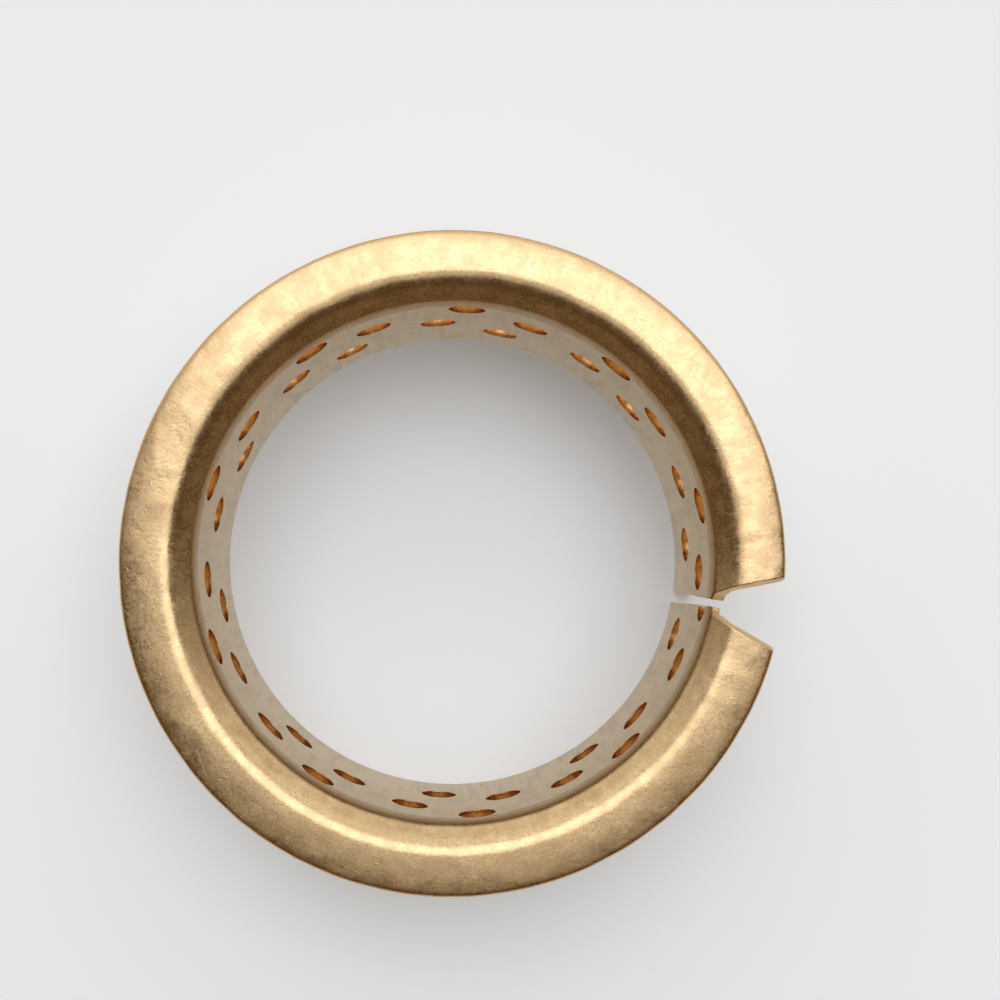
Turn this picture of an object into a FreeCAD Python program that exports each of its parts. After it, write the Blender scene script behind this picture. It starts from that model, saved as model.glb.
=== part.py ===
"""Wrapped bronze bushing with one flange and rows of round lubrication holes.

A perforated strip is rolled into a sleeve with an open butt seam. Its upper edge is turned outward
over a bend, and the two flange corners beside the seam are cut back to a V.

Frame: Z is the bore axis, with the flange up. The origin is on the axis, in the plane of the
sleeve's lower end. X points at 0 degrees, and the strip runs clockwise from the seam, seen from
above. Sizes are millimetres and angles are degrees.
"""
import FreeCAD
import Part

import math
import os

# Driving sizes of the sleeve and its flange
BORE_RADIUS = 27.5
SHEET_THICKNESS = 2.5
TOTAL_LENGTH = 25.0
INSIDE_BEND_RADIUS = 1.1
FLANGE_STAND_OUT = 5.0

# Edge breaks: the press-in chamfer outside the lower end, the bore's lower edge and the rim
LEAD_IN_LENGTH = 0.9
LEAD_IN_DEPTH = 0.35
BORE_END_BREAK = 0.2
RIM_TOP_BREAK = 0.45
RIM_LOWER_BREAK = 0.3

# Butt seam between the strip's ends, a little wider at the lower end
SEAM_ANGLE = -9.65
SEAM_GAP_LOWER_END = 1.35
SEAM_GAP_AT_BEND = 0.8

# V between the flange corners, cut along a line that leans outward and down from the bore side
NOTCH_RIM_WIDTH = 8.2
NOTCH_ROOT_WIDTH = 1.8
NOTCH_ROOT_BELOW_FLANGE_FACE = 2.2
NOTCH_LEAN_ANGLE = 30.0

# Lubrication holes in slanting rows on the strip. Pitches run along the middle of the sheet,
# and each row starts further from the seam than the row above it.
HOLE_DIAMETER = 4.1
HOLE_PITCH = 18.82
ROW_SPACING = 3.95
ROW_SHIFT = 7.73
TOP_ROW_BELOW_FLANGE_FACE = 5.95
TOP_ROW_FIRST_HOLE = 0.2
PLAIN_LOWER_BAND = 4.0

# How far a cutter runs past the surface that it cuts
CUTTER_OVERRUN = 1.0

# Dimensions that follow from the driving sizes
OUTER_RADIUS = BORE_RADIUS + SHEET_THICKNESS
MIDDLE_RADIUS = BORE_RADIUS + SHEET_THICKNESS / 2
FLANGE_RADIUS = OUTER_RADIUS + FLANGE_STAND_OUT
OUTSIDE_BEND_RADIUS = INSIDE_BEND_RADIUS + SHEET_THICKNESS
BEND_CENTRE_RADIUS = OUTER_RADIUS + INSIDE_BEND_RADIUS
BEND_CENTRE_HEIGHT = TOTAL_LENGTH - OUTSIDE_BEND_RADIUS
FLANGE_UNDERSIDE_HEIGHT = TOTAL_LENGTH - SHEET_THICKNESS
STRIP_LENGTH = 2 * math.pi * MIDDLE_RADIUS

ORIGIN = FreeCAD.Vector(0, 0, 0)
UP = FreeCAD.Vector(0, 0, 1)
SIDEWAYS = FreeCAD.Vector(0, 1, 0)


def section_point(radius, height):
    """A point of the wall section, in the XZ plane."""
    return FreeCAD.Vector(radius, 0, height)


def around(centre, radius, angle):
    """A section point at an angle about a centre, counted from outward towards up."""
    turn = math.radians(angle)
    return centre + FreeCAD.Vector(radius * math.cos(turn), 0, radius * math.sin(turn))


def arc(centre, radius, start_angle, end_angle):
    middle_angle = (start_angle + end_angle) / 2
    start = around(centre, radius, start_angle)
    middle = around(centre, radius, middle_angle)
    end = around(centre, radius, end_angle)
    return Part.Arc(start, middle, end).toShape()


def straight_run(corners):
    return [Part.makeLine(first, second) for first, second in zip(corners, corners[1:])]


def wall_section():
    """The closed outline of wall and flange: over the bend, round the rim, back down and up the bore."""
    bend_centre = section_point(BEND_CENTRE_RADIUS, BEND_CENTRE_HEIGHT)
    rim = [
        around(bend_centre, OUTSIDE_BEND_RADIUS, 90),
        section_point(FLANGE_RADIUS - RIM_TOP_BREAK, TOTAL_LENGTH),
        section_point(FLANGE_RADIUS, TOTAL_LENGTH - RIM_TOP_BREAK),
        section_point(FLANGE_RADIUS, FLANGE_UNDERSIDE_HEIGHT + RIM_LOWER_BREAK),
        section_point(FLANGE_RADIUS - RIM_LOWER_BREAK, FLANGE_UNDERSIDE_HEIGHT),
        around(bend_centre, INSIDE_BEND_RADIUS, 90),
    ]
    lower_end = [
        around(bend_centre, INSIDE_BEND_RADIUS, 180),
        section_point(OUTER_RADIUS, LEAD_IN_LENGTH),
        section_point(OUTER_RADIUS - LEAD_IN_DEPTH, 0),
        section_point(BORE_RADIUS + BORE_END_BREAK, 0),
        section_point(BORE_RADIUS, BORE_END_BREAK),
        around(bend_centre, OUTSIDE_BEND_RADIUS, 180),
    ]
    bore_side_bend = arc(bend_centre, OUTSIDE_BEND_RADIUS, 180, 90)
    inside_bend = arc(bend_centre, INSIDE_BEND_RADIUS, 90, 180)
    edges = [bore_side_bend] + straight_run(rim) + [inside_bend] + straight_run(lower_end)
    return Part.Face(Part.Wire(edges))


def turned_to_seam(shape):
    shape.rotate(ORIGIN, UP, SEAM_ANGLE)
    return shape


def formed_sleeve():
    """The sleeve and its flange, rolled round from the seam in two half turns."""
    first_half = wall_section().revolve(ORIGIN, UP, 180)
    second_half = first_half.copy()
    second_half.rotate(ORIGIN, UP, 180)
    return turned_to_seam(first_half.fuse(second_half))


def polygon_wire(corners):
    return Part.makePolygon(corners + corners[:1])


def seam_cutter():
    """A tall wedge across the wall, narrowing towards the flange."""
    taper = (SEAM_GAP_LOWER_END - SEAM_GAP_AT_BEND) / BEND_CENTRE_HEIGHT
    corners = []
    for height in (-CUTTER_OVERRUN, TOTAL_LENGTH + CUTTER_OVERRUN):
        half_gap = (SEAM_GAP_LOWER_END - taper * height) / 2
        pair = [FreeCAD.Vector(0, -half_gap, height), FreeCAD.Vector(0, half_gap, height)]
        corners.extend(pair if height < 0 else pair[::-1])
    reach = FreeCAD.Vector(FLANGE_RADIUS + CUTTER_OVERRUN, 0, 0)
    return turned_to_seam(Part.Face(polygon_wire(corners)).extrude(reach))


def notch_cutter():
    """A V prism with a narrow flat root, whose edges run parallel to the leaning root line."""
    root_line = around(ORIGIN, 1, NOTCH_LEAN_ANGLE - 90)
    away_from_root = around(ORIGIN, 1, NOTCH_LEAN_ANGLE)
    root = section_point(BORE_RADIUS, TOTAL_LENGTH - NOTCH_ROOT_BELOW_FLANGE_FACE)
    rim_distance = (section_point(FLANGE_RADIUS, TOTAL_LENGTH) - root).dot(away_from_root)
    slope = (NOTCH_RIM_WIDTH - NOTCH_ROOT_WIDTH) / 2 / rim_distance
    reach = rim_distance + CUTTER_OVERRUN
    half_root = NOTCH_ROOT_WIDTH / 2
    half_reach = half_root + slope * reach
    start = root - root_line * TOTAL_LENGTH
    corners = [
        start - SIDEWAYS * half_root,
        start + away_from_root * reach - SIDEWAYS * half_reach,
        start + away_from_root * reach + SIDEWAYS * half_reach,
        start + SIDEWAYS * half_root,
    ]
    return turned_to_seam(Part.Face(polygon_wire(corners)).extrude(root_line * (2 * TOTAL_LENGTH)))


def hole_cutter(distance, height):
    """A pin through the wall, at a distance along the strip from the middle of the seam."""
    angle = math.radians(SEAM_ANGLE - 360 * distance / STRIP_LENGTH)
    outward = FreeCAD.Vector(math.cos(angle), math.sin(angle), 0)
    foot = outward * (BORE_RADIUS - CUTTER_OVERRUN) + UP * height
    return Part.makeCylinder(HOLE_DIAMETER / 2, SHEET_THICKNESS + 2 * CUTTER_OVERRUN, foot, outward)


def strip_end_block(side):
    """The space on one side of the seam's middle plane: side -1 is the strip's start, 1 its end."""
    reach = FLANGE_RADIUS + CUTTER_OVERRUN
    corner = FreeCAD.Vector(0, -reach if side < 0 else 0, 0)
    return turned_to_seam(Part.makeBox(reach, reach, TOTAL_LENGTH, corner))


def hole_cutters():
    """Every hole that meets the strip. One that an end of the strip cuts through marks that end alone."""
    hole_radius = HOLE_DIAMETER / 2
    top_row_height = TOTAL_LENGTH - TOP_ROW_BELOW_FLANGE_FACE
    row_count = int((top_row_height - hole_radius - PLAIN_LOWER_BAND) / ROW_SPACING) + 1
    cutters = []
    for row in range(row_count):
        height = top_row_height - row * ROW_SPACING
        distance = (TOP_ROW_FIRST_HOLE + row * ROW_SHIFT + hole_radius) % HOLE_PITCH - hole_radius
        while distance < STRIP_LENGTH + hole_radius:
            cutter = hole_cutter(distance, height)
            if distance < hole_radius:
                cutter = cutter.common(strip_end_block(-1))
            if distance > STRIP_LENGTH - hole_radius:
                cutter = cutter.common(strip_end_block(1))
            cutters.append(cutter)
            distance += HOLE_PITCH
    return cutters


def flanged_bushing():
    bushing = formed_sleeve().cut([seam_cutter(), notch_cutter()])
    return bushing.cut(hole_cutters())


os.makedirs("parts", exist_ok=True)
bushing = flanged_bushing()
bushing.exportStep("parts/flanged_bushing.step")
print("solids", len(bushing.Solids), "faces", len(bushing.Faces), "volume", round(bushing.Volume, 1))
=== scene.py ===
"""Wrapped bronze flanged bushing standing on a pale floor, seen from above the flange.

The visible piece is a bent sheet with rounded edges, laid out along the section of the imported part
and swept round from one strip end to the other. The holes are cut through it with flared pins.
The row frame is used throughout: Z is the bore axis, with the flange up. Lengths are metres and
named angles are degrees. Inside functions an angle or a turn is in radians.
"""

import math

import bpy
import numpy as np
from mathutils import Matrix, Vector, noise


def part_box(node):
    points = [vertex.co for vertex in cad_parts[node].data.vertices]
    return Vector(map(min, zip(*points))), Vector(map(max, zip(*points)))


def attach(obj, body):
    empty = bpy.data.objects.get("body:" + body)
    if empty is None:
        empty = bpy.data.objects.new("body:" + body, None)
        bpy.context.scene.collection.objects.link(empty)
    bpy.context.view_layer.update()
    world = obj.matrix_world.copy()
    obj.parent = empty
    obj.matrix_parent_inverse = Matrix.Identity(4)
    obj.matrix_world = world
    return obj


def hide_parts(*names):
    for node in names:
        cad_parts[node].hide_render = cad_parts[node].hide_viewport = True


MM = 0.001

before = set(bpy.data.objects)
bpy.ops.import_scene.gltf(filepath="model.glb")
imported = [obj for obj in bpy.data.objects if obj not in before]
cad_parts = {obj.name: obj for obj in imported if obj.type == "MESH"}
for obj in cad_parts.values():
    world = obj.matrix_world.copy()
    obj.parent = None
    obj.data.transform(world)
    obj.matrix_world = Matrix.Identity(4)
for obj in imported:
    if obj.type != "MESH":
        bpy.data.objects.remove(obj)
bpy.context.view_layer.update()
cad_low, cad_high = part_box("flanged_bushing")

# Sizes of the part: sleeve, flange and edge breaks
BORE_RADIUS = 27.5 * MM
SHEET = 2.5 * MM
LENGTH = cad_high.z - cad_low.z
INSIDE_BEND = 1.1 * MM
LEAD_IN_LENGTH = 0.9 * MM
LEAD_IN_DEPTH = 0.35 * MM
RIM_LOWER_ROUND = 0.35 * MM
EDGE_ROUND = 0.12 * MM

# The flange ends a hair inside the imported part's box
FLANGE_RADIUS = 34.98 * MM

# The formed surface on the bore side: foot, short slope, crest, and a flange that droops to its rim
FORMED_RISE = 3.1 * MM
FOOT_ROUND = 1.8 * MM
FOOT_TURN = 42
CREST_ROUND = 2.4 * MM
FLANGE_DROOP = 9
RIM_TOP_ROUND = 0.6 * MM

# Sizes of the seam and of the V in the flange
SEAM_ANGLE = -9.65
SEAM_GAP_LOWER_END = 1.35 * MM
SEAM_GAP_AT_BEND = 0.8 * MM
NOTCH_RIM_WIDTH = 8.2 * MM
NOTCH_ROOT_WIDTH = 1.8 * MM
NOTCH_ROOT_DEPTH = 2.2 * MM
NOTCH_LEAN = 30

# Sizes of the rows of holes
HOLE_BORE_RADIUS = 2.0 * MM
HOLE_OUTER_RADIUS = 2.2 * MM
HOLE_PITCH = 18.82 * MM
ROW_SPACING = 3.95 * MM
ROW_SHIFT = 7.73 * MM
TOP_ROW_DEPTH = 5.95 * MM
TOP_ROW_FIRST_HOLE = 0.2 * MM
PLAIN_LOWER_BAND = 4.0 * MM
HOLE_EDGE_ROUND = 0.13 * MM

# Rounded mouth of a hole, in edge rounds: growth of the hole and depth below the surface
HOLE_MOUTH = [(1.35, -1), (0.55, 0), (0.15, 0.28), (0, 0.75)]

# Depths in millimetres of tears and streaks on the sheared ends, and of dents and ripples on the flange
TEAR_MM = 0.05
STREAK_MM = 0.035
DENT_MM = 0.10
RIPPLE_MM = 0.012

# How far apart the dents and ripples are, along the surface and in height
DENT_SPREAD = 4.5 * MM
DENT_RISE = 3 * MM
RIPPLE_SPREAD = 1.3 * MM
RIPPLE_RISE = 0.9 * MM

# Mesh steps along the section. The inside bend has as many as foot, slope and crest together
EDGE_STEPS = 3
WALL_STEPS = 45
FOOT_STEPS = 8
SLOPE_STEPS = 4
CREST_STEPS = 8
FLANGE_STEPS = 12
RIM_STEPS = 7

# Mesh steps through the sheet, round the sleeve, over the edges of the strip's ends and round a pin
LAYERS = 9
COLUMNS = 420
END_ROUND_ANGLES = (0, 30, 60, 90)
FIRST_FULL_COLUMN = 1.6 * EDGE_ROUND
PIN_SIDES = 40

# How near to a round wall a point counts as being on it
WALL_TOLERANCE = 0.003 * MM

# Material slots of the piece: rolled sheet, sheared ends and punched holes
SHEET_FINISH, CUT_FINISH, HOLE_FINISH = 0, 1, 2

# Zones of the metal in millimetres of radius or height, each from where it is absent to where it is full
BORE_BY_RADIUS = (27.95, 27.55)
BORE_BY_HEIGHT = (20.9, 20.1)
# Where a dark reflection is painted as a brown band, at the foot of the bend
REFLECTION_BAND_BY_RADIUS = (28.1, 27.75)
REFLECTION_BAND_BY_HEIGHT = (20.0, 20.9)
SLOPE_FROM_BORE = (27.9, 28.4)
SLOPE_FROM_FLANGE = (30.7, 30.1)
# Painted shade: the flange darkens towards its rim
RIM_SHADE_BY_RADIUS = (33.0, 34.6)
RIM_BY_RADIUS = (34.55, 34.95)
WORN_BY_HEIGHT = (8.0, 1.0)
UPPER_TONE_BY_HEIGHT = (5.0, 18.0)

# Colours of the clean bronze, of what is on it, and of the reflections painted in the bore
SHEET_TONE = (0.73, 0.51, 0.265)
SHEARED_TONE = (0.80, 0.56, 0.30)
PUNCHED_TONE = (0.78, 0.46, 0.18)
COPPER = (0.62, 0.30, 0.13, 1)
TARNISH = (0.30, 0.20, 0.11, 1)
BORE_LOWER = (0.46, 0.355, 0.25, 1)
BORE_UPPER = (0.36, 0.24, 0.125, 1)
WORN_SPOT = (0.14, 0.10, 0.07, 1)
# Painted reflection: brown patches in the bore
BORE_REFLECTION_PATCH = (0.30, 0.185, 0.09, 1)
# Painted reflection: the dark brown band at the foot of the bend
PAINTED_BAND_REFLECTION = (0.27, 0.155, 0.07, 1)
GRAZING_TINT = (0.92, 0.86, 0.76, 1)

# Depth of the relief that the shader adds to the bronze
RELIEF_DEPTH = 0.03 * MM

# The floor, and how far its shadows are lifted for the camera and in reflections
FLOOR_HALF = 2.0
FLOOR_COLOUR = (0.90, 0.91, 0.875, 1)
FLOOR_GLOW = (0.97, 0.99, 0.985, 1)
CAMERA_LIFT = 0.15
REFLECTION_LIFT = 0.45

# The camera, as fitted to the photograph
CAMERA_PLACE = (-0.001254, -0.000164, 0.158177)
CAMERA_FORWARD = (0.0439, 0.0478, -0.9979)
CAMERA_UP = (-0.0011, 0.9989, 0.0478)
CAMERA_LENS = 45.89

# The lamp
LAMP_PLACE = (0.22, 0.78, 2.5)
LAMP_AIM = (0.0, 0.0, 0.02)
LAMP_SIZE = (3.0, 1.55)
LAMP_POWER = 23.5
LAMP_COLOUR = (0.96, 1.0, 1.16)

# The room around: its colours, and where along an axis one fades into the next
ROOM_AXIS = (0, 1, 0)
ROOM_FADE = (-0.12, 0.85)
ROOM_FRONT = (0.11, 0.075, 0.045, 1)
ROOM_BACK = (1.08, 1.12, 1.18, 1)
OVERHEAD_AXIS = (0.06, -0.03, 1)
OVERHEAD_FADE = (0.835, 0.965)
OVERHEAD = (0.78, 0.80, 0.82, 1)
BACKDROP = (0.79, 0.81, 0.81, 1)

# Sizes that follow
OUTER_RADIUS = BORE_RADIUS + SHEET
OUTSIDE_BEND = INSIDE_BEND + SHEET
BEND_RADIUS = OUTER_RADIUS + INSIDE_BEND
BEND_HEIGHT = LENGTH - OUTSIDE_BEND
UNDERSIDE = LENGTH - SHEET
STRIP_LENGTH = 2 * math.pi * (BORE_RADIUS + SHEET / 2)
LEAD_IN_TOP = LEAD_IN_LENGTH + 0.1 * MM


def on_line(points, end, count):
    """Adds points on a straight line from the last point."""
    start = points[-1]
    points += [start + (np.array(end) - start) * k / count for k in range(1, count + 1)]


def on_arc(points, centre, radius, first, last, count):
    """Adds points on an arc that starts at the last point, by degrees from outward towards up."""
    for k in range(1, count + 1):
        turn = math.radians(first + (last - first) * k / count)
        points.append(np.array(centre) + radius * np.array([math.cos(turn), math.sin(turn)]))


def bore_side():
    """(radius, height) points from the lower end up the bore, over the crest and round the rim's top."""
    lean, upright = math.sin(math.radians(FOOT_TURN)), math.cos(math.radians(FOOT_TURN))
    points = [np.array([BORE_RADIUS + EDGE_ROUND, 0.0])]
    on_arc(points, (BORE_RADIUS + EDGE_ROUND, EDGE_ROUND), EDGE_ROUND, 270, 180, EDGE_STEPS)
    foot = LENGTH - FORMED_RISE
    on_line(points, (BORE_RADIUS, foot), WALL_STEPS)
    on_arc(points, (BORE_RADIUS + FOOT_ROUND, foot), FOOT_ROUND, 180, 180 - FOOT_TURN, FOOT_STEPS)
    climb = FORMED_RISE - FOOT_ROUND * lean - CREST_ROUND * (1 - lean)
    on_line(points, points[-1] + np.array([climb * lean / upright, climb]), SLOPE_STEPS)
    crest_centre = points[-1] + CREST_ROUND * np.array([upright, -lean])
    on_arc(points, crest_centre, CREST_ROUND, 180 - FOOT_TURN, 90, CREST_STEPS)
    crest = points[-1][0]
    tilt = 90 - FLANGE_DROOP
    droop_end = FLANGE_RADIUS - RIM_TOP_ROUND * (1 - math.cos(math.radians(tilt)))
    droop_round = (droop_end - crest) / math.sin(math.radians(FLANGE_DROOP))
    on_arc(points, (crest, LENGTH - droop_round), droop_round, 90, tilt, FLANGE_STEPS)
    rim_height = points[-1][1] - RIM_TOP_ROUND * math.sin(math.radians(tilt))
    on_arc(points, (FLANGE_RADIUS - RIM_TOP_ROUND, rim_height), RIM_TOP_ROUND, tilt, 0, RIM_STEPS)
    return points


def outer_side():
    """The points that pair with those of bore_side across the sheet."""
    # Each corner of the press-in chamfer is softened by a point on either side of it
    points = [
        np.array([OUTER_RADIUS - LEAD_IN_DEPTH - 0.05 * MM, 0.0]),
        np.array([OUTER_RADIUS - LEAD_IN_DEPTH, 0.08 * MM]),
        np.array([OUTER_RADIUS - 0.06 * MM, LEAD_IN_LENGTH - 0.12 * MM]),
        np.array([OUTER_RADIUS, LEAD_IN_TOP]),
    ]
    on_line(points, (OUTER_RADIUS, BEND_HEIGHT), WALL_STEPS)
    bend_steps = FOOT_STEPS + SLOPE_STEPS + CREST_STEPS
    on_arc(points, (BEND_RADIUS, BEND_HEIGHT), INSIDE_BEND, 180, 90, bend_steps)
    on_line(points, (FLANGE_RADIUS - RIM_LOWER_ROUND, UNDERSIDE), FLANGE_STEPS)
    lower_rim = (FLANGE_RADIUS - RIM_LOWER_ROUND, UNDERSIDE + RIM_LOWER_ROUND)
    on_arc(points, lower_rim, RIM_LOWER_ROUND, -90, 0, RIM_STEPS)
    return points


def section_grid():
    """Points of the whole section: one row per station along the sheet, one column per layer."""
    inner, outer = np.array(bore_side()), np.array(outer_side())
    share = np.linspace(0, 1, LAYERS)[None, :, None]
    return inner[:, None, :] * (1 - share) + outer[:, None, :] * share


def inward(grid):
    """Unit vectors into the metal at the outline points of the section, zero elsewhere."""
    rows = grid.shape[0]
    loop = [(i, 0) for i in range(rows)]
    loop += [(rows - 1, j) for j in range(1, LAYERS)]
    loop += [(i, LAYERS - 1) for i in range(rows - 2, -1, -1)]
    loop += [(0, j) for j in range(LAYERS - 2, 0, -1)]
    points = np.array([grid[ij] for ij in loop])
    along = np.roll(points, -1, 0) - np.roll(points, 1, 0)
    along /= np.linalg.norm(along, axis=1)[:, None]
    result = np.zeros_like(grid)
    for (i, j), (r, z) in zip(loop, along):
        result[i, j] = (z, -r)
    return result


def end_angle(radius, height):
    """Angle from the seam's middle plane to the cut face, at a point of the section."""
    taper = (SEAM_GAP_LOWER_END - SEAM_GAP_AT_BEND) / BEND_HEIGHT
    seam = math.asin(max(SEAM_GAP_LOWER_END - taper * height, 0) / 2 / radius)
    lean_r, lean_z = math.cos(math.radians(NOTCH_LEAN)), math.sin(math.radians(NOTCH_LEAN))
    root_r, root_z = BORE_RADIUS, LENGTH - NOTCH_ROOT_DEPTH
    rim = (FLANGE_RADIUS - root_r) * lean_r + (LENGTH - root_z) * lean_z
    slope = (NOTCH_RIM_WIDTH - NOTCH_ROOT_WIDTH) / 2 / rim
    angle = seam
    # The flank's distance depends on the angle itself, and a dozen rounds settle the two
    for _ in range(12):
        away = (radius * math.cos(angle) - root_r) * lean_r + (height - root_z) * lean_z
        if away < 0:
            return seam
        angle = math.asin((NOTCH_ROOT_WIDTH / 2 + slope * away) / radius)
    return max(seam, angle)


def sheared(radius, height, side):
    """Coarse tears of a sheared face and streaks finer in height, as a length along the strip."""
    spot = Vector((radius / MM, height / MM, 40.0 * side))
    coarse = noise.noise(spot * 0.9) * TEAR_MM
    streak = noise.noise(Vector((spot.x * 0.8 + 9, spot.y * 4.0, spot.z))) * STREAK_MM
    return (coarse + streak) * MM


def forming_depth(turn, radius, height):
    """How deep forming has pressed the bore side of bend and flange into the metal."""
    share = min(1.0, max(0.0, (height - BEND_HEIGHT) / OUTSIDE_BEND))
    dent = Vector((math.cos(turn), math.sin(turn), 0)) * (radius / DENT_SPREAD)
    dent.z = height / DENT_RISE
    ripple = Vector((math.cos(turn), math.sin(turn), 0)) * (radius / RIPPLE_SPREAD)
    ripple.z = height / RIPPLE_RISE + 7
    return abs(noise.noise(dent) * DENT_MM + noise.noise(ripple) * RIPPLE_MM) * share * MM


def sheet_vertices(grid):
    """Vertices on the outside of the bent sheet, and the number of each by (row, layer, column)."""
    into = inward(grid)
    rows = grid.shape[0]
    last_column = COLUMNS - 1
    end_columns = len(END_ROUND_ANGLES)
    near_end = [EDGE_ROUND * (1 - math.cos(math.radians(a))) for a in END_ROUND_ANGLES]
    shrink = [EDGE_ROUND * (1 - math.sin(math.radians(a))) for a in END_ROUND_ANGLES]
    full_columns = COLUMNS - 2 * end_columns
    crest_start = int(np.argmax(grid[:, 0, 1] > BEND_HEIGHT))
    ends = np.array([[end_angle(*point) for point in station] for station in grid])
    vertices, index = [], {}
    for k in range(COLUMNS):
        mirror = k > last_column - end_columns
        edge = last_column - k if mirror else k
        for i in range(rows):
            for j in range(LAYERS):
                outline = i in (0, rows - 1) or j in (0, LAYERS - 1)
                if not outline and edge > 0:
                    continue
                r, z = grid[i, j]
                if edge < end_columns:
                    r, z = (r, z) + into[i, j] * shrink[edge]
                    rough = sheared(r, z, 1 if mirror else -1) * (1 - edge / end_columns)
                    angle = ends[i, j] + (near_end[edge] + rough) / r
                    angle = 2 * math.pi - angle if mirror else angle
                else:
                    first = ends[i, j] + FIRST_FULL_COLUMN / r
                    share = (k - end_columns) / (full_columns - 1)
                    angle = first + (2 * math.pi - 2 * first) * share
                turn = math.radians(SEAM_ANGLE) - angle
                if j == 0 and i >= crest_start:
                    r, z = (r, z) + into[i, j] * forming_depth(turn, r, z)
                index[i, j, k] = len(vertices)
                vertices.append((r * math.cos(turn), r * math.sin(turn), z + cad_low.z))
    return vertices, index


def bent_sheet():
    """The bushing without its holes, as a closed mesh with all edges rounded."""
    grid = section_grid()
    vertices, index = sheet_vertices(grid)
    faces = []

    def quad(*corners):
        faces.append([index[corner] for corner in corners])

    last_row, last_layer, last_column = grid.shape[0] - 1, LAYERS - 1, COLUMNS - 1
    for k in range(last_column):
        n = k + 1
        for i in range(last_row):
            quad((i, 0, k), (i + 1, 0, k), (i + 1, 0, n), (i, 0, n))
            quad((i, last_layer, k), (i, last_layer, n), (i + 1, last_layer, n), (i + 1, last_layer, k))
        for j in range(last_layer):
            quad((0, j, k), (0, j, n), (0, j + 1, n), (0, j + 1, k))
            quad((last_row, j, k), (last_row, j + 1, k), (last_row, j + 1, n), (last_row, j, n))
    finishes = [SHEET_FINISH] * len(faces)
    for i in range(last_row):
        for j in range(last_layer):
            m, n = i + 1, j + 1
            quad((i, j, 0), (i, n, 0), (m, n, 0), (m, j, 0))
            quad((i, j, last_column), (m, j, last_column), (m, n, last_column), (i, n, last_column))
    finishes += [CUT_FINISH] * (len(faces) - len(finishes))
    return vertices, faces, finishes


def new_object(name, vertices, faces, finishes=None):
    """A mesh object in the scene. finishes gives each face its material slot."""
    mesh = bpy.data.meshes.new(name)
    mesh.from_pydata([tuple(v) for v in vertices], [], faces)
    if finishes:
        mesh.polygons.foreach_set("material_index", finishes)
    mesh.update()
    made = bpy.data.objects.new(name, mesh)
    bpy.context.scene.collection.objects.link(made)
    return made


def hole_places():
    """(turn, height, side) of each hole. Side is -1 or 1 where the strip's start or end cuts it."""
    top = LENGTH - TOP_ROW_DEPTH
    rows = int((top - HOLE_OUTER_RADIUS - PLAIN_LOWER_BAND) / ROW_SPACING) + 1
    half = HOLE_OUTER_RADIUS
    for row in range(rows):
        distance = (TOP_ROW_FIRST_HOLE + row * ROW_SHIFT + half) % HOLE_PITCH - half
        while distance < STRIP_LENGTH + half:
            side = -1 if distance < half else 1 if distance > STRIP_LENGTH - half else 0
            turn = math.radians(SEAM_ANGLE) - 2 * math.pi * distance / STRIP_LENGTH
            yield turn, top - row * ROW_SPACING, side
            distance += HOLE_PITCH


def pin_profile():
    """(radius of the pin, radius of the wall, step outward) of each ring of a pin, from the bore out."""
    profile = []
    for grow, depth in HOLE_MOUTH:
        size = HOLE_BORE_RADIUS + grow * HOLE_EDGE_ROUND
        profile.append((size, BORE_RADIUS, depth * HOLE_EDGE_ROUND))
    for grow, depth in HOLE_MOUTH[::-1]:
        size = HOLE_OUTER_RADIUS + grow * HOLE_EDGE_ROUND
        profile.append((size, OUTER_RADIUS, -depth * HOLE_EDGE_ROUND))
    return profile


def hole_pins():
    """A flared pin through the wall at every hole. One that the seam meets is kept to its own side."""
    profile = pin_profile()
    vertices, faces = [], []
    for turn, height, side in hole_places():
        base = len(vertices)
        place = Matrix.Rotation(turn, 3, "Z")
        seam = math.sin(math.radians(SEAM_ANGLE) - turn)
        for size, surface, step in profile:
            for s in range(PIN_SIDES):
                angle = 2 * math.pi * s / PIN_SIDES
                y, z = size * math.cos(angle), size * math.sin(angle)
                if side:
                    y = side * max(side * y, side * surface * seam)
                x = math.sqrt(surface ** 2 - y ** 2) + step
                vertices.append(place @ Vector((x, y, z)) + Vector((0, 0, height + cad_low.z)))
        for ring in range(len(profile) - 1):
            a, b = base + ring * PIN_SIDES, base + (ring + 1) * PIN_SIDES
            for s in range(PIN_SIDES):
                t = (s + 1) % PIN_SIDES
                faces.append([a + s, a + t, b + t, b + s])
        faces.append([base + s for s in range(PIN_SIDES - 1, -1, -1)])
        last = base + (len(profile) - 1) * PIN_SIDES
        faces.append([last + s for s in range(PIN_SIDES)])
    return vertices, faces, [HOLE_FINISH] * len(faces)


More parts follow.
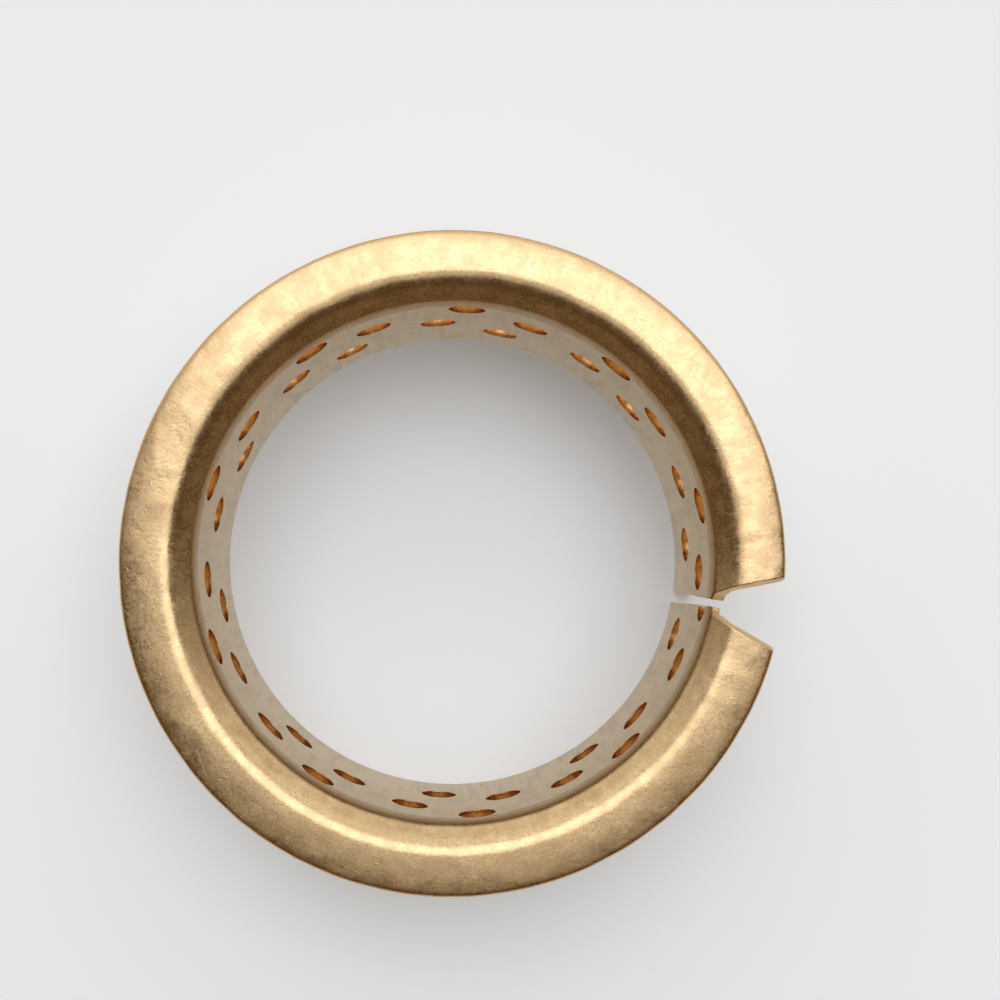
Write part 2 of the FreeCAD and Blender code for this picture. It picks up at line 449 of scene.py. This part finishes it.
class Nodes:
    """Short names for the node calls that the materials and the world share."""

    def __init__(self, owner):
        owner.use_nodes = True
        self.tree = owner.node_tree
        self.shader = self.tree.nodes.get("Principled BSDF")

    def new(self, kind):
        return self.tree.nodes.new("ShaderNode" + kind)

    def link(self, source, socket):
        """Joins an output to a socket, or sets the socket to a plain value."""
        if isinstance(source, bpy.types.NodeSocket):
            self.tree.links.new(source, socket)
        else:
            socket.default_value = source

    def math(self, operation, first, second=0.0, third=0.0):
        node = self.new("Math")
        node.operation = operation
        for value, socket in zip((first, second, third), node.inputs):
            self.link(value, socket)
        return node.outputs[0]

    def times(self, first, second):
        return self.math("MULTIPLY", first, second)

    def times_plus(self, first, second, third):
        """first times second, plus third."""
        return self.math("MULTIPLY_ADD", first, second, third)

    def between(self, value, low, high):
        """0 at low and 1 at high, smooth between them."""
        node = self.new("MapRange")
        node.interpolation_type = "SMOOTHSTEP"
        self.link(value, node.inputs["Value"])
        node.inputs["From Min"].default_value = low
        node.inputs["From Max"].default_value = high
        return node.outputs["Result"]

    def vector(self, x, y, z):
        node = self.new("CombineXYZ")
        for value, socket in zip((x, y, z), node.inputs):
            self.link(value, socket)
        return node.outputs[0]

    def noise(self, vector, detail, rough):
        node = self.new("TexNoise")
        node.inputs["Scale"].default_value = 1.0
        node.inputs["Detail"].default_value = detail
        node.inputs["Roughness"].default_value = rough
        self.link(vector, node.inputs["Vector"])
        return node.outputs["Fac"]

    def mix(self, share, first, second, kind="RGBA"):
        """first where share is 0 and second where it is 1. They are colours unless kind is FLOAT."""
        node = self.new("Mix")
        node.data_type = kind
        self.link(share, node.inputs["Factor"])
        self.link(first, node.inputs["A"])
        self.link(second, node.inputs["B"])
        return node.outputs["Result"]


class Surface(Nodes):
    """Coordinates, patterns and zones of the bushing's metal, in millimetres."""

    def __init__(self, material):
        super().__init__(material)
        split = self.new("SeparateXYZ")
        self.link(self.new("TexCoord").outputs["Object"], split.inputs[0])
        self.place = [self.math("DIVIDE", part, MM) for part in split.outputs]
        x, y, self.height = self.place
        squares = self.math("ADD", self.math("POWER", x, 2.0), self.math("POWER", y, 2.0))
        self.radius = self.math("SQRT", squares)
        self.outward = [self.math("DIVIDE", part, self.radius) for part in (x, y)]

        along = self.math("ADD", self.radius, self.height)
        self.specks = self.noise(self.scaled(3.2), 3, 0.65)
        self.blotches = self.noise(self.scaled(0.42), 4, 0.6)
        self.dents = self.noise(self.scaled(0.75), 2, 0.5)
        self.drawn = self.noise(self.around(110.0, self.times(along, 0.35)), 3, 0.6)
        self.turned = self.noise(self.around(6.0, self.times(self.height, 3.0)), 3, 0.6)
        self.hairs = self.hairlines()

        self.bore = self.zone(BORE_BY_RADIUS, BORE_BY_HEIGHT)
        # Where the dark reflection at the foot of the bend is painted
        self.reflection_band = self.zone(REFLECTION_BAND_BY_RADIUS, REFLECTION_BAND_BY_HEIGHT)

    def scaled(self, factor):
        return self.vector(*(self.times(part, factor) for part in self.place))

    def around(self, across, along):
        """A vector that turns with the angle about the axis and moves with a length along the sheet."""
        return self.vector(*(self.times(part, across) for part in self.outward), along)

    def zone(self, by_radius, by_height):
        return self.times(self.between(self.radius, *by_radius), self.between(self.height, *by_height))

    def hairlines(self):
        """Fine bright scratches: the lines where a noise passes through its middle, in patches."""
        wander = self.math("SUBTRACT", self.noise(self.scaled(0.55), 1, 0.4), 0.5)
        lines = self.between(self.math("ABSOLUTE", wander), 0.010, 0.003)
        return self.times(lines, self.between(self.noise(self.scaled(0.9), 2, 0.6), 0.52, 0.6))


def bronze_colour(metal, tone):
    """Specks, blotches, streaks, hairlines and pits, painted shade towards the rim, a reddened rim,
    painted reflections in the darker bore and a painted dark band above it.
    """
    deep = tuple(part * share for part, share in zip(tone, (0.86, 0.81, 0.74))) + (1,)
    light = tuple(min(1, part * share) for part, share in zip(tone, (1.06, 1.09, 1.14))) + (1,)
    colour = metal.mix(metal.between(metal.specks, 0.36, 0.62), deep, light)
    colour = metal.mix(metal.times(metal.between(metal.blotches, 0.60, 0.40), 0.5), colour, deep)
    colour = metal.mix(metal.times(metal.between(metal.drawn, 0.58, 0.75), 0.35), colour, deep)
    # Painted shade: the flange darkens towards its rim
    colour = metal.mix(metal.times(metal.between(metal.radius, *RIM_SHADE_BY_RADIUS), 0.65), colour, deep)
    reddened = metal.times(metal.between(metal.blotches, 0.3, 0.7), 0.7)
    rim = metal.between(metal.radius, *RIM_BY_RADIUS)
    colour = metal.mix(metal.times(rim, reddened), colour, COPPER)
    colour = metal.mix(metal.times(metal.hairs, 0.7), colour, light)
    pits = metal.between(metal.noise(metal.scaled(1.9), 2, 0.5), 0.72, 0.78)
    colour = metal.mix(metal.times(pits, 0.6), colour, TARNISH)

    ground = metal.mix(metal.between(metal.height, *UPPER_TONE_BY_HEIGHT), BORE_LOWER, BORE_UPPER)
    colour = metal.mix(metal.times(metal.bore, 0.75), colour, ground)
    worn = metal.times(metal.bore, metal.between(metal.height, *WORN_BY_HEIGHT))
    spots = metal.between(metal.noise(metal.scaled(1.7), 2, 0.6), 0.62, 0.68)
    colour = metal.mix(metal.times(metal.times(worn, spots), 0.55), colour, WORN_SPOT)
    # Painted reflection: brown patches in the bore
    reflection_patches = metal.noise(metal.around(26.0, metal.times(metal.height, 0.12)), 3, 0.6)
    reflection_patches = metal.times_plus(metal.math("SUBTRACT", metal.blotches, 0.5), 0.7, reflection_patches)
    reflection_patches = metal.times(metal.between(reflection_patches, 0.42, 0.70), metal.bore)
    colour = metal.mix(metal.times(reflection_patches, 0.6), colour, BORE_REFLECTION_PATCH)
    # Painted reflection: the dark brown band at the foot of the bend
    return metal.mix(metal.times(metal.reflection_band, 0.85), colour, PAINTED_BAND_REFLECTION)


def bronze_roughness(metal, roughness):
    """Satin metal with duller specks, streaks and dents, and a polished bore."""
    satin = metal.times_plus(metal.between(metal.specks, 0.3, 0.7), 0.10, roughness - 0.03)
    satin = metal.times_plus(metal.between(metal.drawn, 0.5, 0.75), 0.06, satin)
    satin = metal.times_plus(metal.between(metal.dents, 0.35, 0.65), 0.09, satin)
    polish = metal.times_plus(metal.between(metal.turned, 0.4, 0.7), 0.08, 0.10)
    return metal.mix(metal.bore, satin, polish, "FLOAT")


def bronze_relief(metal):
    """Height of streaks, specks, dents and hairlines, eased on the slope and most of all in the bore."""
    relief = metal.times_plus(metal.drawn, 0.6, metal.specks)
    relief = metal.times_plus(metal.dents, 2.4, relief)
    slope = metal.times(
        metal.between(metal.radius, *SLOPE_FROM_BORE),
        metal.between(metal.radius, *SLOPE_FROM_FLANGE),
    )
    eased = metal.times_plus(slope, -0.45, 1.0)
    eased = metal.times_plus(metal.bore, -0.8, eased)
    return metal.times_plus(metal.hairs, 0.8, metal.times(relief, eased))


def bronze(name, tone, roughness, grain):
    """Bronze that changes with radius and height: polished bore, a painted dark reflection band above
    it, reddened rim.

    tone is the colour of the clean metal, and grain is the strength of the surface relief.
    """
    material = bpy.data.materials.new(name)
    metal = Surface(material)
    sockets = metal.shader.inputs
    metal.link(bronze_colour(metal, tone), sockets["Base Color"])
    metal.link(bronze_roughness(metal, roughness), sockets["Roughness"])
    sockets["Metallic"].default_value = 1.0
    sockets["Specular Tint"].default_value = GRAZING_TINT
    bump = metal.new("Bump")
    bump.inputs["Strength"].default_value = grain
    bump.inputs["Distance"].default_value = RELIEF_DEPTH
    metal.link(bronze_relief(metal), bump.inputs["Height"])
    metal.link(bump.outputs["Normal"], sockets["Normal"])
    return material


def pale_floor():
    """A pale matt floor that glows a little to the camera and in the polished metal."""
    material = bpy.data.materials.new("pale_floor")
    nodes = Nodes(material)
    sockets = nodes.shader.inputs
    path = nodes.new("LightPath").outputs
    sockets["Base Color"].default_value = FLOOR_COLOUR
    sockets["Roughness"].default_value = 0.9
    sockets["Emission Color"].default_value = FLOOR_GLOW
    nodes.link(nodes.times(path["Is Camera Ray"], CAMERA_LIFT), sockets["Emission Strength"])
    glow = nodes.new("Emission")
    glow.inputs["Color"].default_value = FLOOR_GLOW
    blend = nodes.new("MixShader")
    share = nodes.times(path["Is Glossy Ray"], REFLECTION_LIFT)
    for source, socket in zip((share, nodes.shader.outputs[0], glow.outputs[0]), blend.inputs):
        nodes.link(source, socket)
    nodes.link(blend.outputs[0], nodes.tree.nodes["Material Output"].inputs["Surface"])
    return material


def settle_normals(mesh):
    """Makes the normals on the round walls exactly radial, so that the hole edges shade cleanly."""
    places = np.empty(len(mesh.vertices) * 3, dtype=np.float32)
    corners = np.empty(len(mesh.loops), dtype=np.int32)
    normals = np.empty(len(mesh.loops) * 3, dtype=np.float32)
    mesh.vertices.foreach_get("co", places)
    mesh.loops.foreach_get("vertex_index", corners)
    mesh.corner_normals.foreach_get("vector", normals)
    places, normals = places.reshape(-1, 3), normals.reshape(-1, 3)
    radius = np.hypot(places[:, 0], places[:, 1])
    height = places[:, 2] - cad_low.z

    def on_wall(wall_radius, low, high):
        return (abs(radius - wall_radius) < WALL_TOLERANCE) & (height > low) & (height < high)

    outside = on_wall(OUTER_RADIUS, LEAD_IN_TOP + WALL_TOLERANCE, BEND_HEIGHT)
    bore = on_wall(BORE_RADIUS, EDGE_ROUND, LENGTH - FORMED_RISE)
    facing = (outside.astype(float) - bore.astype(float))[corners][:, None]
    radial = places[corners] * (1, 1, 0) / radius[corners][:, None]
    mesh.normals_split_custom_set(np.where(facing != 0, radial * facing, normals).tolist())


def build_bushing():
    """Cuts the pins from the bent sheet and keeps the result, with smooth normals, as one mesh."""
    piece = new_object("flanged_bushing_looks", *bent_sheet())
    pins = new_object("hole_pins", *hole_pins())
    piece.data.materials.append(bronze("bronze_sheet", SHEET_TONE, 0.23, 0.38))
    piece.data.materials.append(bronze("bronze_sheared", SHEARED_TONE, 0.38, 0.8))
    piece.data.materials.append(bronze("bronze_punched", PUNCHED_TONE, 0.22, 0.4))
    cut = piece.modifiers.new("holes", "BOOLEAN")
    cut.operation = "DIFFERENCE"
    cut.solver = "EXACT"
    cut.object = pins
    piece.data.shade_smooth()
    pins.data.shade_smooth()
    weigh = piece.modifiers.new("normals", "WEIGHTED_NORMAL")
    weigh.weight = 60
    bpy.context.view_layer.update()
    graph = bpy.context.evaluated_depsgraph_get()
    finished = bpy.data.meshes.new_from_object(piece.evaluated_get(graph))
    piece.modifiers.clear()
    piece.data = finished
    bpy.data.objects.remove(pins)
    settle_normals(finished)
    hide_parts("flanged_bushing")
    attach(piece, "root")


def camera():
    data = bpy.data.cameras.new("camera")
    data.sensor_width = 36
    data.lens = CAMERA_LENS
    data.clip_start = 0.01
    made = bpy.data.objects.new("camera", data)
    forward = Vector(CAMERA_FORWARD).normalized()
    right = forward.cross(Vector(CAMERA_UP)).normalized()
    turn = Matrix((right, right.cross(forward), -forward)).transposed()
    made.matrix_world = Matrix.Translation(CAMERA_PLACE) @ turn.to_4x4()
    bpy.context.scene.collection.objects.link(made)
    bpy.context.scene.camera = made


def floor():
    corners = [(x * FLOOR_HALF, y * FLOOR_HALF, 0) for x, y in ((-1, -1), (1, -1), (1, 1), (-1, 1))]
    made = new_object("floor", corners, [[0, 1, 2, 3]])
    made.data.materials.append(pale_floor())


def softbox():
    """One large soft lamp, above and behind."""
    data = bpy.data.lights.new("softbox", "AREA")
    data.shape = "RECTANGLE"
    data.size, data.size_y = LAMP_SIZE
    data.energy = LAMP_POWER
    data.color = LAMP_COLOUR
    made = bpy.data.objects.new("softbox", data)
    made.location = LAMP_PLACE
    made.rotation_euler = (Vector(LAMP_AIM) - Vector(LAMP_PLACE)).to_track_quat("-Z", "Y").to_euler()
    bpy.context.scene.collection.objects.link(made)


def room():
    """A room that is bright behind and dim in front, with a soft glow overhead.

    The camera sees a plain pale backdrop in its place.
    """
    world = bpy.data.worlds.new("studio")
    nodes = Nodes(world)
    direction = nodes.new("TexCoord").outputs["Generated"]

    def towards(axis, low, high):
        """0 where the direction is low along the axis and 1 where it is high, smooth between them."""
        dot = nodes.new("VectorMath")
        dot.operation = "DOT_PRODUCT"
        nodes.link(direction, dot.inputs[0])
        dot.inputs[1].default_value = Vector(axis).normalized()
        return nodes.between(dot.outputs["Value"], low, high)

    colour = nodes.mix(towards(ROOM_AXIS, *ROOM_FADE), ROOM_FRONT, ROOM_BACK)
    colour = nodes.mix(towards(OVERHEAD_AXIS, *OVERHEAD_FADE), colour, OVERHEAD)
    colour = nodes.mix(nodes.new("LightPath").outputs["Is Camera Ray"], colour, BACKDROP)
    nodes.link(colour, nodes.tree.nodes["Background"].inputs["Color"])
    bpy.context.scene.world = world


build_bushing()
camera()
floor()
room()
softbox()
bpy.context.scene.view_settings.view_transform = "Standard"
